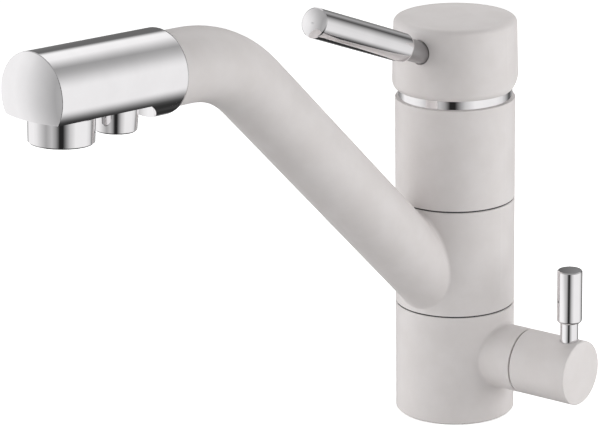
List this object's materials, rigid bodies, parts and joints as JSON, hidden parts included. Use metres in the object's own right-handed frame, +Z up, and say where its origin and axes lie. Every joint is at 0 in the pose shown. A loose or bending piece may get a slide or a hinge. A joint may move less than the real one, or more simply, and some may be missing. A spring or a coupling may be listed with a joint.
{
  "type": "kitchen mixer tap",
  "caption": "Single-hole kitchen mixer tap with a swivelling angled spout, a lift-and-turn lever handle and a side quarter-turn valve for filtered water.",
  "frame": {"origin": "centre of the column's foot, on the worktop", "axes": "+Z up the column, -Y the way the lever points at rest, +X along the filtered water branch; the spout rests swung 5.8 degrees from -Y towards -X"},
  "size_m": [0.1038, 0.2634, 0.2016],
  "materials": {
    "cream_paint": "smooth satin paint",
    "chrome": "polished",
    "brass": "turned",
    "rubber": "moulded",
    "dark_plastic": "moulded",
    "pale_plastic": "moulded",
    "ceramic": "lapped",
    "steel": "turned"
  },
  "bodies": {
    "tap_body": {"base_body": "cream_paint", "base_gasket": "rubber", "inner_core": "brass", "core_o_rings": "rubber", "lower_slide_ring": "dark_plastic", "upper_slide_ring": "dark_plastic", "upper_body": "cream_paint", "cartridge_base": "pale_plastic", "cartridge_seals": "rubber", "fixed_disc": "ceramic", "cartridge_housing": "pale_plastic", "cartridge_nut": "brass", "dome_ring": "chrome", "filter_seat_washer": "rubber", "filter_valve_body": "brass", "filter_fixed_disc": "ceramic"},
    "spout": {"spout": "cream_paint", "filter_tube": "pale_plastic", "spout_head": "chrome", "head_gasket": "rubber", "main_aerator_shell": "chrome", "main_aerator_insert": "pale_plastic", "main_aerator_gasket": "rubber", "filter_aerator_shell": "chrome", "filter_aerator_insert": "pale_plastic", "filter_aerator_gasket": "rubber"},
    "stem_guide": {"stem_guide": "pale_plastic", "stem_pivot_pin": "steel"},
    "handle": {"cartridge_stem": "steel", "handle_cap": "cream_paint", "handle_set_screw": "steel", "handle_lever": "chrome"},
    "moving_disc": {"moving_disc": "ceramic"},
    "filter_knob": {"filter_knob": "cream_paint", "filter_lever": "chrome", "filter_spindle": "brass", "filter_moving_disc": "ceramic", "spindle_o_ring": "rubber"}
  },
  "joints": [
    {"name": "spout_swivel", "type": "hinge", "parent": "tap_body", "child": "spout", "pos_m": [0, 0, 0.0706], "axis": [0, 0, 1], "continuous": true},
    {"name": "handle_turn", "type": "hinge", "parent": "tap_body", "child": "stem_guide", "pos_m": [0, 0, 0.1366], "axis": [0, 0, 1], "range_deg": [-50, 50]},
    {"name": "handle_tilt", "type": "hinge", "parent": "stem_guide", "child": "handle", "pos_m": [0, 0, 0.1366], "axis": [-1, 0, 0], "range_deg": [0, 25]},
    {"name": "disc_slide", "type": "slide", "parent": "stem_guide", "child": "moving_disc", "axis": [0, -1, 0], "range_m": [0, 0.0059]},
    {"name": "filter_turn", "type": "hinge", "parent": "tap_body", "child": "filter_knob", "pos_m": [0.05, 0, 0.02743], "axis": [1, 0, 0], "range_deg": [0, 90]}
  ],
  "couplings": [
    {"joint": "disc_slide", "follows": "handle_tilt", "m_per_rad": 0.01333}
  ]
}
